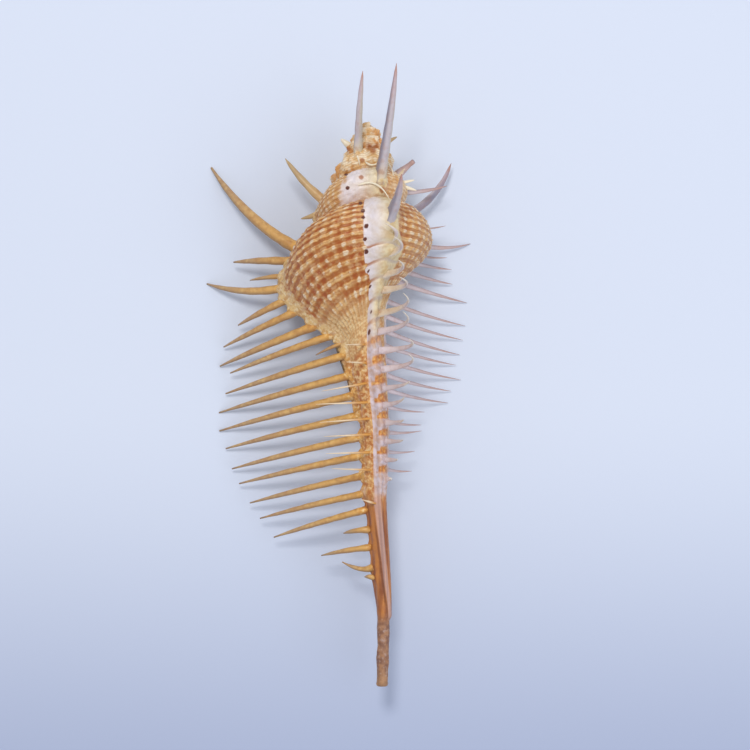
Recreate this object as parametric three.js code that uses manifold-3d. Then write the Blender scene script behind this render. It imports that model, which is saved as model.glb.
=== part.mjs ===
// A comb murex: one sea shell that grew as a single piece, lying on its aperture.
// Millimetres. +X is sideways, +Y points along the shell to the spire, +Z is up.
import * as THREE from "three";
import Module from "manifold-3d";

// The coil. Each turn is a larger copy of the one before it, about one point at
// the spire's end. "Turn" is 0 at the lip and falls by 1 for each whorl back.
// "Station" is a place on the whorl's outline, as its distance from that point
// where the whorl is full grown, at the lip.
const GROWTH_PER_TURN = 1.6;
const LIP_ANGLE = 195;
const VARICES_PER_TURN = 3;
const VARIX_COUNT = 16;
const SUTURE_STATION = 23.482;
const WHORL_STATION = 32.5;
const WHORL_SHOULDER_LENGTH = 9.2;
const WHORL_CORE_RADIUS = 7.0;
const WHORL_BULGE = 9.3;
const WHORL_ROUNDNESS = 1.8;
const APEX_STATION = 1.3;

// The first whorls are plumper than the rule, so the spire ends bluntly.
const SPIRE_SWELL = 0.85;
const SPIRE_SWELL_LENGTH = 6;

// The whorls lean: their upper side lies nearer to the spire's end.
const WHORL_LEAN = 0.42;
const LEAN_FADE_START = 32;
const LEAN_FADE_END = 56;

// The neck below the whorl, and the long siphonal canal that it draws out into.
const NECK_STATION = 40.5;
const NECK_END = 49.5;
const CANAL_BLEND_START = 40;
const CANAL_BLEND_END = 60;
const CANAL_TOP = 50;
const CANAL_END_STATION = 114.2;
const CANAL_SLIM_RADIUS = 1.3;
const CANAL_SWELL = 2.0;
const CANAL_TAPER_LENGTH = 20;
const CANAL_STEP_STATION = 100.5;
const CANAL_STEP = 0.22;
const CANAL_TIP_RADIUS = 1.16;
const NECK_BEND = 1.8;
const NECK_BEND_START = 43;
const NECK_BEND_END = 64;
const CANAL_BEND = 1.6;
const CANAL_BEND_START = 70;
const CANAL_BEND_END = 101;
const CANAL_TIP_BEND = 0.45;
const CANAL_DROOP_START = 35;
const CANAL_DROOP = 1.5;
const CANAL_SLIT_DEPTH = 0.5;
const AXIS_HEIGHT = 12.5;

// A varix is the thick rib left by each pause in growth.
const VARIX_HEIGHT = 1.3;
const VARIX_REAR = 0.84;
const VARIX_FRONT = 0.14;
const VARIX_ON_CANAL = 0.4;
const VARIX_ON_SPIRE = 1.9;
const VARIX_FOOT = [24, 29];
const VARIX_TAIL = [92, 101];

// The mouth's hollow, at the lip, and how far it runs back into the whorl.
const HOLLOW_STATION = 32.8;
const HOLLOW_RADIUS = 9.3;
const HOLLOW_HALF_LENGTH = 7.0;
const HOLLOW_HALF_WIDTH = 4.6;
const HOLLOW_TURNS = 0.5;
const HOLLOW_OVERRUN = 0.035;
const HOLLOW_SIDES = 10;
const HOLLOW_STEPS = 7;

// Spines: roots sit this deep in the shell, and each tapers by these steps.
const ROOT_DEPTH = 1.1;
const SPINE_SIDES = 5;
const SPINE_TAPER = [
  { along: 0, width: 1.55 },
  { along: 0.14, width: 1 },
  { along: 0.5, width: 0.8 },
  { along: 0.8, width: 0.48 },
];
const MAIN_SPINE = 0.72;
const FINE_SPINE = 0.34;

// One comb of spines grows from each of the last three varices. A row is
// [root station, tip sideways from the axis, tip station, tip height, radius].
// The bow is how far a spine's middle is drawn aside, along, and up or down.
const LIP_COMB = {
  turn: 0,
  bow: [0, -0.5, 2.0],
  spines: [
    [29.2, -27.2, 28.9, 3.5, 0.85],
    [32.0, -23.8, 32.6, 4.5, 0.5],
    [36.0, -26.3, 41.7, 3.0, MAIN_SPINE],
    [38.4, -29.3, 46.1, 1.5, MAIN_SPINE],
    [41.4, -30.1, 50.0, 0.6, 0.8],
    [43.4, -27.9, 51.4, 2.5, MAIN_SPINE],
    [45.0, -10.4, 47.8, 9.0, FINE_SPINE],
    [47.2, -28.9, 55.6, 1.2, 0.8],
    [51.4, -30.3, 59.5, 0, 0.8],
    [55.4, -30.2, 63.2, 0.4, 0.8],
    [59.5, -28.9, 66.8, 1.0, 0.78],
    [63.8, -27.6, 70.9, 1.6, 0.76],
    [67.6, -26.1, 73.9, 2.2, 0.74],
    [71.6, -23.9, 77.8, 2.8, MAIN_SPINE],
    [75.2, -21.8, 80.9, 3.4, 0.7],
    [78.6, -19.0, 84.7, 4.0, 0.68],
    [82.8, -4.8, 83.6, 9.5, 0.6],
    [86.3, -9.3, 88.2, 7.5, 0.6],
    [92.7, -0.5, 92.3, 10.5, 0.5],
  ],
};
const TOP_BODY_COMB = {
  turn: -1 / VARICES_PER_TURN,
  bow: [5.2, 0.5, -1.6],
  spines: [
    [25.2, 2.9, 22.1, 31.5, 0.66],
    [27.9, 5.2, 25.0, 31.5, 0.66],
    [31.8, 6.0, 29.5, 31.5, 0.66],
  ],
};
const TOP_COMB = {
  turn: -1 / VARICES_PER_TURN,
  bow: [7.0, 0.7, -2.0],
  spines: [
    [34.7, 6.2, 32.8, 31.5, 0.66],
    [39.5, 6.9, 35.9, 31.0, 0.66],
    [43.2, 6.9, 39.5, 30.0, 0.66],
    [46.9, 8.1, 44.8, 28.5, 0.64],
    [50.8, 8.0, 47.7, 27.5, 0.62],
  ],
};
const TOP_CANAL_COMB = {
  turn: -1 / VARICES_PER_TURN,
  bow: [2.5, 0.4, -1.0],
  spines: [
    [54.6, 8.3, 53.0, 26.5, 0.6],
    [58.0, 7.2, 56.1, 25.0, 0.58],
    [61.4, 7.1, 60.5, 24.0, 0.56],
    [65.0, 7.0, 64.5, 23.0, 0.54],
    [68.6, 5.8, 68.4, 20.0, 0.5],
    [72.4, 4.3, 72.3, 16.0, 0.46],
  ],
};
const BACK_BODY_COMB = {
  turn: -2 / VARICES_PER_TURN,
  bow: [0.4, 0.6, -0.2],
  spines: [
    [22.4, 15.8, 21.7, 7.0, FINE_SPINE],
    [27.4, 16.1, 28.0, 4.0, FINE_SPINE],
    [28.8, 17.1, 30.3, 1.2, 0.5],
    [30.6, 17.3, 33.3, 0.8, 0.56],
    [32.6, 20.3, 37.1, 0.2, 0.64],
  ],
};
const BACK_COMB = {
  turn: -2 / VARICES_PER_TURN,
  bow: [-0.6, 0.7, -1.4],
  spines: [
    [36.4, 19.9, 41.8, 0.3, 0.5],
    [39.4, 19.4, 44.7, 0.6, 0.5],
    [42.4, 18.8, 47.7, 0.3, 0.5],
    [45.4, 18.0, 49.8, 0.6, 0.48],
    [48.4, 19.0, 52.8, 0.3, 0.48],
    [51.4, 17.0, 55.1, 0.6, 0.48],
    [54.4, 16.4, 57.5, 0.3, 0.46],
    [57.8, 11.6, 59.3, 4.5, 0.44],
    [60.8, 10.9, 61.9, 5.0, 0.42],
    [63.2, 11.0, 63.1, 5.0, 0.42],
    [67.0, 9.6, 67.2, 6.0, 0.4],
    [70.4, 9.0, 71.2, 6.5, 0.4],
    [72.4, 4.7, 72.5, 9.0, 0.36],
  ],
};

// Shoulder spines, longer than the rest, the older ones up the spire, and a hooked
// one low on the canal.
const SINGLE_SPINES = [
  { turn: 0, bow: [-1.4, 4.2, 2.4], spines: [[27.5, -31.9, 9.5, 0, 1.15]] },
  { turn: 0, bow: [0, 2.8, 3.0], spines: [[33.8, -32.8, 33.2, 0, 0.8]] },
  { turn: -1 / 3, bow: [1.0, 1.2, 0], spines: [[21.8, 6.6, 13.1, 35.0, 0.9]] },
  { turn: -2 / 3, bow: [3.0, 2.4, -0.6], spines: [[20.8, 17.0, 8.7, 2.4, 0.8]] },
  { turn: -2 / 3, bow: [0.6, 2.0, 0], spines: [[25.0, 21.0, 25.0, 0.2, 0.66]] },
  { turn: -0.62, bow: [0.6, 0.8, 0], spines: [[15.4, 16.0, 13.7, 8.0, 0.38]] },
  { turn: -1, bow: [-0.6, 0.8, 1.0], spines: [[17.6, -16.6, 8.2, 9.0, 0.8]] },
  { turn: -1, bow: [0, 0.2, 0.4], spines: [[19.2, -13.4, 20.4, 9.5, 0.45]] },
  { turn: -4 / 3, bow: [0.5, 0, 1.5], spines: [[13.8, 5.7, -9.1, 27.0, 1.1]] },
  { turn: -1.54, bow: [0, 0, 0], spines: [[12.2, 9.2, 9.2, 14.5, 0.7]] },
  { turn: -2.22, bow: [-0.5, 0, 1.0], spines: [[7.8, -0.9, -8.0, 23.0, 0.78]] },
  { turn: -2.0, bow: [0, 0, 0], spines: [[7.0, -5.3, 4.6, 12.5, 0.5]] },
  { turn: -2.5, bow: [0, 0, 0], spines: [[6.3, 5.9, 4.2, 13.0, 0.45]] },
  { turn: 0, bow: [0.9, 2.0, 0], spines: [[90.1, -5.1, 89.4, 9.0, 0.55]] },
];

// Fine side spines stand between the main ones of the lip comb, turned up. The
// lowest is a broken stub.
const FINE_COMB = {
  turn: -108 / 360,
  bow: [0, 0, 1.1],
  spines: [
    [45.6, -4.4, 45.8, 19.5, FINE_SPINE],
    [49.4, -4.2, 49.2, 18.8, FINE_SPINE],
    [53.2, -9.1, 55.0, 18.4, FINE_SPINE],
    [57.2, -10.3, 57.6, 18.0, FINE_SPINE],
    [60.4, -9.5, 61.2, 17.6, FINE_SPINE],
    [63.6, -8.7, 64.0, 17.2, FINE_SPINE],
    [67.2, -8.3, 67.4, 16.8, FINE_SPINE],
    [70.8, -7.1, 70.4, 16.4, FINE_SPINE],
    [77.6, -1.3, 76.6, 14.6, FINE_SPINE],
  ],
};

// Stations where the faceted surface is cut, and how each third turn is split.
const SPIRE_STATIONS = [SUTURE_STATION, 24.6, 26.2, 28.8, 32.8];
const BODY_STATIONS = [40, 42, 45, 49, 54];
const CANAL_STATIONS = [60, 68, 77, 86, 95, 100, 101.2, 108, CANAL_END_STATION];
const COLUMN_STEPS = [0, 0.07, 0.18, 0.34, 0.52, 0.7, 0.86];
const SLIT_COLUMN = 2;

const { lerp, smoothstep, degToRad } = THREE.MathUtils;

function growthAt(turn) {
  return GROWTH_PER_TURN ** turn;
}

// The whorl's outline where it is full grown: a rounded shoulder above its middle,
// and a base that sweeps in to the top of the canal.
function whorlRadius(station) {
  const widest = WHORL_CORE_RADIUS + WHORL_BULGE;
  if (station > WHORL_STATION) {
    const below = smoothstep(station, WHORL_STATION, NECK_END);
    return lerp(widest, CANAL_SLIM_RADIUS + CANAL_SWELL, below);
  }
  const reach = Math.min((WHORL_STATION - station) / WHORL_SHOULDER_LENGTH, 1);
  const bulge = (1 - reach ** WHORL_ROUNDNESS) ** (1 / WHORL_ROUNDNESS);
  return WHORL_CORE_RADIUS + WHORL_BULGE * bulge;
}

function canalRadius(distance) {
  const below = Math.max(distance, CANAL_TOP) - CANAL_TOP;
  const tube = CANAL_SLIM_RADIUS + CANAL_SWELL * Math.exp(-below / CANAL_TAPER_LENGTH);
  if (distance < CANAL_STEP_STATION) return tube;
  const past = (distance - CANAL_STEP_STATION) / (CANAL_END_STATION - CANAL_STEP_STATION);
  return lerp(tube - CANAL_STEP, CANAL_TIP_RADIUS, past);
}

function scaleAt(turn, station) {
  return lerp(growthAt(turn), 1, smoothstep(station, CANAL_BLEND_START, CANAL_BLEND_END));
}

// Each varix rises slowly on its old side and drops steeply on the newer one.
function varixRise(turn, station) {
  const hiddenByMouth = turn < -0.9 && station > SUTURE_STATION * GROWTH_PER_TURN;
  if (hiddenByMouth && station < CANAL_BLEND_END) return 0;
  const thirds = turn * VARICES_PER_TURN;
  const since = thirds - Math.floor(thirds + 1e-6);
  const rear = smoothstep(since, VARIX_REAR, 1);
  const front = 1 - smoothstep(since, 0, VARIX_FRONT);
  const canal = lerp(1, VARIX_ON_CANAL, smoothstep(station, NECK_STATION, CANAL_BLEND_END));
  const foot = smoothstep(station, VARIX_FOOT[0], VARIX_FOOT[1]);
  const tail = 1 - smoothstep(station, VARIX_TAIL[0], VARIX_TAIL[1]);
  const spire = lerp(VARIX_ON_SPIRE, 1, growthAt(turn));
  return VARIX_HEIGHT * Math.max(rear, front) * canal * foot * tail * spire;
}

function shellRadius(turn, station) {
  const scale = scaleAt(turn, station);
  const varix = scale * varixRise(turn, station);
  const along = (scale * station) / SPIRE_SWELL_LENGTH;
  const swell = SPIRE_SWELL * Math.exp(-along * along);
  const neck = smoothstep(station, NECK_STATION, NECK_END);
  return lerp(scale * whorlRadius(station) + swell, canalRadius(scale * station), neck) + varix;
}

// A place given by its distance along the shell, its angle and its radius.
function axisSide(distance) {
  const neck = NECK_BEND * smoothstep(distance, NECK_BEND_START, NECK_BEND_END);
  const canal = CANAL_BEND * smoothstep(distance, CANAL_BEND_START, CANAL_BEND_END);
  return neck + canal - CANAL_TIP_BEND * smoothstep(distance, CANAL_BEND_END, CANAL_END_STATION);
}

function axisHeight(distance) {
  return AXIS_HEIGHT - CANAL_DROOP * smoothstep(distance, CANAL_DROOP_START, CANAL_END_STATION);
}

function around(distance, degrees, radius) {
  const angle = degToRad(degrees);
  const rise = radius * Math.sin(angle);
  const lean = WHORL_LEAN * (1 - smoothstep(distance, LEAN_FADE_START, LEAN_FADE_END));
  return new THREE.Vector3(
    axisSide(distance) + radius * Math.cos(angle),
    lean * rise - distance,
    axisHeight(distance) + rise,
  );
}

function angleAt(turn) {
  return LIP_ANGLE + 360 * turn;
}

function shellPoint(turn, station, depth = 0) {
  const distance = scaleAt(turn, station) * station;
  return around(distance, angleAt(turn), shellRadius(turn, station) - depth);
}

// The station whose place on this turn lies a given distance down the shell.
function stationAt(turn, distance) {
  let low = 0;
  let high = CANAL_END_STATION;
  for (let step = 0; step < 40; step += 1) {
    const middle = (low + high) / 2;
    if (-shellPoint(turn, middle).y < distance) low = middle;
    else high = middle;
  }
  return (low + high) / 2;
}

const wasm = await Module();
wasm.setup();

// Gathers points and triangles, and turns them into a closed solid.
class FacetedBody {
  points = [];
  triangles = [];

  point(place) {
    this.points.push(place);
    return this.points.length - 1;
  }

  triangle(a, b, c) {
    if (a !== b && b !== c && c !== a) this.triangles.push([a, b, c]);
  }

  quad(a, b, c, d) {
    this.triangle(a, b, c);
    this.triangle(a, c, d);
  }

  volume() {
    const [a, b, c] = [new THREE.Vector3(), new THREE.Vector3(), new THREE.Vector3()];
    let total = 0;
    for (const corners of this.triangles) {
      a.copy(this.points[corners[0]]);
      b.copy(this.points[corners[1]]);
      c.copy(this.points[corners[2]]);
      total += a.dot(b.cross(c)) / 6;
    }
    return total;
  }

  solid() {
    const inward = this.volume() < 0;
    const corners = this.triangles.flatMap(([a, b, c]) => (inward ? [a, c, b] : [a, b, c]));
    return new wasm.Manifold(new wasm.Mesh({
      numProp: 3,
      vertProperties: Float32Array.from(this.points.flatMap((place) => place.toArray())),
      triVerts: Uint32Array.from(corners),
    }));
  }
}

// The coiled shell. The foot of each whorl is the suture that the next one
// starts from, so those two rows share their points.
function coiledShell() {
  const body = new FacetedBody();
  const perTurn = VARICES_PER_TURN * COLUMN_STEPS.length;
  const last = VARIX_COUNT * COLUMN_STEPS.length;
  const spireRows = SPIRE_STATIONS.length;
  const suture = SUTURE_STATION * GROWTH_PER_TURN;
  const stations = [...SPIRE_STATIONS, suture, ...BODY_STATIONS, ...CANAL_STATIONS];
  const canalRow = stations.indexOf(CANAL_STATIONS[0]);
  const slitRow = canalRow - 1;
  const index = new Map();

  function turnOf(column) {
    const third = Math.floor(column / COLUMN_STEPS.length);
    const step = COLUMN_STEPS[column % COLUMN_STEPS.length];
    return (third - VARIX_COUNT + step) / VARICES_PER_TURN;
  }

  function at(column, row) {
    const inSpire = column <= last - perTurn;
    if (row === spireRows && inSpire) return at(column + perTurn, 0);
    if (row >= canalRow && column === last) return at(last - perTurn, row);
    const key = `${column}/${row}`;
    if (!index.has(key)) {
      const turn = turnOf(column);
      const inSlit = column === last - perTurn + SLIT_COLUMN && row >= slitRow;
      const depth = inSlit ? CANAL_SLIT_DEPTH * shellRadius(turn, stations[row]) : 0;
      index.set(key, body.point(shellPoint(turn, stations[row], depth)));
    }
    return index.get(key);
  }

  for (let column = 0; column < last; column += 1) {
    const rows = column < last - perTurn ? spireRows : stations.length - 1;
    for (let row = 0; row < rows; row += 1) {
      body.quad(at(column, row), at(column + 1, row), at(column + 1, row + 1), at(column, row + 1));
    }
  }

  // The first whorl's open edge closes on the worn tip of the spire.
  const tip = body.point(around(APEX_STATION, 0, 0));
  for (let column = 0; column < perTurn; column += 1) {
    body.triangle(tip, at(column + 1, 0), at(column, 0));
  }
  for (let row = 0; row < spireRows; row += 1) {
    body.triangle(tip, at(0, row), at(0, row + 1));
  }

  // The canal's end.
  const foot = stations.length - 1;
  const end = body.point(around(CANAL_END_STATION, 0, 0));
  for (let column = last - perTurn; column < last; column += 1) {
    body.triangle(end, at(column, foot), at(column + 1, foot));
  }

  // The mouth, closed for now from the lip across to the inner wall.
  for (let row = 0; row < spireRows; row += 1) {
    body.triangle(at(last, row), at(last - perTurn, spireRows), at(last, row + 1));
  }
  for (let row = spireRows; row < canalRow; row += 1) {
    const inner = last - perTurn;
    body.quad(at(last, row), at(inner, row), at(inner, row + 1), at(last, row + 1));
  }
  return body.solid();
}

// The living space: an oval that follows the coil back from the mouth and closes.
function mouthHollow() {
  const body = new FacetedBody();
  const rings = [];
  for (let step = 0; step <= HOLLOW_STEPS; step += 1) {
    const back = step / HOLLOW_STEPS;
    const turn = lerp(HOLLOW_OVERRUN, -HOLLOW_TURNS, back);
    const growth = growthAt(turn);
    const width = growth * Math.sqrt(Math.max(1 - back ** 3, 0.04));
    const ring = [];
    for (let side = 0; side < HOLLOW_SIDES; side += 1) {
      const swing = (2 * Math.PI * side) / HOLLOW_SIDES;
      const distance = growth * HOLLOW_STATION + width * HOLLOW_HALF_LENGTH * Math.cos(swing);
      const radius = growth * HOLLOW_RADIUS + width * HOLLOW_HALF_WIDTH * Math.sin(swing);
      ring.push(body.point(around(distance, angleAt(turn), radius)));
    }
    rings.push(ring);
  }
  joinRings(body, rings);
  closeRing(body, rings[0], true);
  closeRing(body, rings[HOLLOW_STEPS], false);
  return body.solid();
}

function joinRings(body, rings) {
  for (let step = 1; step < rings.length; step += 1) {
    const [from, to] = [rings[step - 1], rings[step]];
    for (let side = 0; side < from.length; side += 1) {
      const next = (side + 1) % from.length;
      body.quad(from[side], from[next], to[next], to[side]);
    }
  }
}

function closeRing(body, ring, first) {
  for (let side = 1; side < ring.length - 1; side += 1) {
    if (first) body.triangle(ring[0], ring[side + 1], ring[side]);
    else body.triangle(ring[0], ring[side], ring[side + 1]);
  }
}

// One spine: a curved, tapering rod from inside the shell out to its point.
function spine(root, bend, tip, radius) {
  const body = new FacetedBody();
  const path = new THREE.QuadraticBezierCurve3(root, bend, tip);
  const rings = SPINE_TAPER.map(({ along, width }) => {
    const centre = path.getPoint(along);
    const forward = path.getTangent(along);
    const aside = new THREE.Vector3(forward.z, 0, -forward.x);
    if (aside.lengthSq() < 1e-4) aside.set(1, 0, 0);
    aside.normalize();
    const across = new THREE.Vector3().crossVectors(forward, aside).normalize();
    const ring = [];
    for (let side = 0; side < SPINE_SIDES; side += 1) {
      const swing = (2 * Math.PI * side) / SPINE_SIDES;
      const place = centre.clone();
      place.addScaledVector(aside, radius * width * Math.cos(swing));
      place.addScaledVector(across, radius * width * Math.sin(swing));
      ring.push(body.point(place));
    }
    return ring;
  });
  joinRings(body, rings);
  closeRing(body, rings[0], true);
  const point = body.point(tip);
  const end = rings[rings.length - 1];
  end.forEach((corner, side) => body.triangle(corner, end[(side + 1) % end.length], point));
  return body.solid();
}

function combSpines({ turn, bow, spines }) {
  return spines.map(([rootDistance, side, tipDistance, height, radius]) => {
    const root = shellPoint(turn, stationAt(turn, rootDistance), ROOT_DEPTH);
    const tip = new THREE.Vector3(side, -tipDistance, height);
    const bend = root.clone().lerp(tip, 0.5).add(new THREE.Vector3(bow[0], -bow[1], bow[2]));
    return spine(root, bend, tip, radius);
  });
}

function shellGeometry() {
  let solid = coiledShell().subtract(mouthHollow());
  const bodyCombs = [LIP_COMB, TOP_BODY_COMB, TOP_COMB, BACK_BODY_COMB];
  const canalCombs = [TOP_CANAL_COMB, BACK_COMB, FINE_COMB];
  for (const rod of [...bodyCombs, ...canalCombs, ...SINGLE_SPINES].flatMap(combSpines)) {
    solid = solid.add(rod);
  }
  const mesh = solid.getMesh();
  const geometry = new THREE.BufferGeometry();
  geometry.setAttribute("position", new THREE.Float32BufferAttribute(mesh.vertProperties, 3));
  geometry.setIndex(Array.from(mesh.triVerts));

  // The origin goes on the surface it lies on, under the middle of its box.
  geometry.computeBoundingBox();
  const { min, max } = geometry.boundingBox;
  geometry.translate(-(min.x + max.x) / 2, -(min.y + max.y) / 2, -min.z);
  geometry.computeVertexNormals();
  return geometry;
}

const shellMaterial = new THREE.MeshStandardMaterial({
  color: 0xcfa878,
  roughness: 0.55,
  metalness: 0,
});
const shell = new THREE.Mesh(shellGeometry(), shellMaterial);
shell.name = "shell";

const murexShell = new THREE.Group();
murexShell.add(shell);

export default murexShell;
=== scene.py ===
import math

import bpy
import numpy as np
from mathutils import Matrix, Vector


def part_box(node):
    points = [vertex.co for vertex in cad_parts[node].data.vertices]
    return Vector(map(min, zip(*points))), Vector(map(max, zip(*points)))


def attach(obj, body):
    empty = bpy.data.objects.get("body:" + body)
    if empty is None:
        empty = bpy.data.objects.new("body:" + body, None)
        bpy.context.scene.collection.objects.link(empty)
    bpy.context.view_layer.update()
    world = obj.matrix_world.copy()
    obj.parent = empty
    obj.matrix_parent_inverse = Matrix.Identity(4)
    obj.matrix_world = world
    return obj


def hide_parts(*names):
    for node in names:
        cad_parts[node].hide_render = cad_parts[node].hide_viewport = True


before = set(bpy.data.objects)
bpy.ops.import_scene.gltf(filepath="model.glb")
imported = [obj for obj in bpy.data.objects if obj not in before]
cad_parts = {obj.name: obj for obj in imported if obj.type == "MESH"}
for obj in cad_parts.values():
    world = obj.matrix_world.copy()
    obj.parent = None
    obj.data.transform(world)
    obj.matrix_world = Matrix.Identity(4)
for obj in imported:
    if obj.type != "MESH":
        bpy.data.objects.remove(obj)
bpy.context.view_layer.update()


# The coiled shell: one sheet of lime that the animal lays down at its mouth. Each
# turn repeats the last one 1.6 times larger, and three times in a turn the growth
# stops and leaves a thick ridge, a varix. The whorl draws out into a long canal.

MILLIMETRE = 0.001
LEFT_REACH = 32.8
CANAL_END = 114.2
CAD_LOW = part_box("shell")[0]
AXIS_PLACE = CAD_LOW.x + LEFT_REACH * MILLIMETRE
SPIRE_PLACE = CAD_LOW.y + CANAL_END * MILLIMETRE

# Distances from the coil's point, and stations along the last whorl's outline, are
# in mm. A turn is 0 at the lip and less than 0 on older growth.
COIL = {
    "growth per turn": 1.6,
    "lip angle": 195.0,
    "whorl station": 32.5,
    "whorl shoulder length": 9.2,
    "whorl core radius": 7.0,
    "whorl bulge": 9.3,
    "whorl roundness": 1.8,
    "whorl lean": 0.42,
    "neck station": 40.5,
    "neck end": 49.5,
    "canal radius": 1.3,
    "canal swell": 2.0,
    "canal taper": 20.0,
    "neck bend": 1.8,
    "canal bend": 1.6,
    "canal droop": 1.5,
    "tip bend": 0.2,
    "axis height": 12.5,
    "spire swell": 0.85,
    "spire swell length": 6.0,
    "varix height": 1.3,
    "tongue height": 0.9,
    "cord height": 0.24,
    "rib height": 0.1,
    "bead height": 0.24,
    "knob height": 1.6,
    "uneven height": 1.4,
    "uneven pitch": 1.3,
    "slit depth": 0.5,
    "hollow station": 32.8,
    "hollow radius": 9.3,
    "hollow half length": 7.0,
    "hollow half width": 4.6,
    "hollow turns": 0.5,
    "hollow tuck": 3.5,
}
SUTURE = 23.481651
APEX = 1.3
CORDS_PER_WHORL = 10
CORD_PITCH = SUTURE * (COIL["growth per turn"] - 1) / CORDS_PER_WHORL
RIBS_PER_TURN = 42
GROWTH_FADE_START = 40.0
CANAL_START = 60.0
CANAL_TAPER_START = 50.0
NECK_BEND_RUN = (43.0, 64.0)
CANAL_BEND_RUN = (70.0, 101.0)
LEAN_FADE = (32.0, 56.0)
DROOP_START = 35.0

# The canal's end has lost its outer layer, which leaves a small step.
STEP_STATION = 100.5
STEP_RUN = (STEP_STATION - 0.5, STEP_STATION + 0.7)
CANAL_STEP = 0.22
TAIL_RUN = (99.0, 102.0)

# Rows of spines: (root distance, tip side, tip distance, tip height, radius), in mm
# from the coil's point and axis. The bow moves the middle of a spine off its chord.
# A foot is (flare, flare length, how conical the spine is, length of its round end).
# The kinds are those of the lip, the upper side and the back, tall ones, fine ones on
# the canal, old olive ones and shards.
LIP_TURN, UPPER_TURN, BACK_TURN = 0.0, -1 / 3, -2 / 3
LIP, UPPER, BACK, TALL, FINE, OLIVE, SHARD = range(7)


def spine_row(turn, kind, bow, rows, **more):
    return {"turn": turn, "comb": kind, "bow": bow, "rows": rows, **more}


LIP_COMB = spine_row(LIP_TURN, LIP, (0.0, -0.5, 2.0), [
    (29.2, -27.2, 28.9, 3.5, 0.8), (32.0, -23.8, 32.6, 4.5, 0.5),
    (36.0, -26.3, 41.7, 3.0, 0.72), (38.4, -29.3, 46.1, 1.5, 0.72),
    (41.4, -30.1, 50.0, 0.6, 0.8), (43.4, -27.9, 51.4, 2.5, 0.72),
    (45.0, -10.4, 47.8, 9.0, 0.34),
])
LIP_CANAL_COMB = spine_row(LIP_TURN, LIP, (0.0, -0.5, 2.0), [
    (47.2, -28.9, 55.6, 1.2, 0.8), (51.4, -30.3, 59.5, 0.0, 0.8), (55.4, -30.2, 63.2, 0.4, 0.8),
    (59.5, -28.9, 66.8, 1.0, 0.78), (63.8, -27.6, 70.9, 1.6, 0.76),
    (67.6, -26.1, 73.9, 2.2, 0.74), (71.6, -23.9, 77.8, 2.8, 0.72),
    (75.2, -21.8, 80.9, 3.4, 0.7), (78.6, -19.0, 84.7, 4.0, 0.68),
    (82.8, -4.8, 83.6, 9.5, 0.6), (86.3, -9.3, 88.2, 7.5, 0.6),
    (92.7, -0.5, 92.3, 10.5, 0.5),
], foot=(0.4, 1.6, 0.15, 1.0))
UPPER_BODY_COMB = spine_row(UPPER_TURN, UPPER, (5.2, 0.5, -1.6), [
    (25.2, 2.9, 22.1, 31.5, 0.66), (27.9, 5.2, 25.0, 31.5, 0.66),
    (31.8, 6.0, 29.5, 31.5, 0.66),
])
UPPER_NECK_COMB = spine_row(UPPER_TURN, UPPER, (7.0, 0.7, -2.0), [
    (34.7, 6.2, 32.8, 31.5, 0.66),
    (39.5, 6.9, 35.9, 31.0, 0.66), (43.2, 6.9, 39.5, 30.0, 0.66),
    (46.9, 8.1, 44.8, 28.5, 0.64), (50.8, 8.0, 47.7, 27.5, 0.62),
])
UPPER_CANAL_COMB = spine_row(UPPER_TURN, UPPER, (2.5, 0.4, -1.0), [
    (54.6, 8.3, 53.0, 26.5, 0.6), (58.0, 7.2, 56.1, 25.0, 0.58),
    (61.4, 7.1, 60.5, 24.0, 0.56), (65.0, 7.0, 64.5, 23.0, 0.54),
    (68.6, 5.8, 68.4, 20.0, 0.5), (72.4, 4.3, 72.3, 16.0, 0.46),
])
BACK_BODY_COMB = spine_row(BACK_TURN, BACK, (0.4, 0.6, -0.2), [
    (22.4, 15.8, 21.7, 7.0, 0.34), (27.4, 16.1, 28.0, 4.0, 0.34),
    (28.8, 17.1, 30.3, 1.2, 0.5), (30.6, 17.3, 33.3, 0.8, 0.56),
    (32.6, 20.3, 37.1, 0.2, 0.64),
])
BACK_CANAL_COMB = spine_row(BACK_TURN, BACK, (-0.6, 0.7, -1.4), [
    (36.4, 19.9, 41.8, 0.3, 0.56), (39.4, 19.4, 44.7, 0.6, 0.56),
    (42.4, 18.8, 47.7, 0.3, 0.56), (45.4, 18.0, 49.8, 0.6, 0.54),
    (48.4, 19.0, 52.8, 0.3, 0.54), (51.4, 17.0, 55.1, 0.6, 0.54),
    (54.4, 16.4, 57.5, 0.3, 0.5), (57.8, 11.6, 59.3, 4.5, 0.44),
    (60.8, 10.9, 61.9, 5.0, 0.42), (63.2, 11.0, 63.1, 5.0, 0.42),
    (67.0, 9.6, 67.2, 6.0, 0.4), (70.4, 9.0, 71.2, 6.5, 0.4),
    (72.4, 4.7, 72.5, 9.0, 0.36),
])
FINE_COMB = spine_row(-0.3, FINE, (0.0, 0.0, 1.1), [
    (45.6, -4.4, 45.8, 19.5, 0.26), (49.4, -4.2, 49.2, 18.8, 0.26),
    (53.2, -9.1, 55.0, 18.4, 0.26), (57.2, -10.3, 57.6, 18.0, 0.26),
    (60.4, -9.5, 61.2, 17.6, 0.26), (63.6, -8.7, 64.0, 17.2, 0.26),
    (67.2, -8.3, 67.4, 16.8, 0.26), (70.8, -7.1, 70.4, 16.4, 0.26),
    (77.6, -1.3, 76.6, 14.6, 0.3),
])
STRAIGHT = (0.0, 0.0, 0.0)
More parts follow.
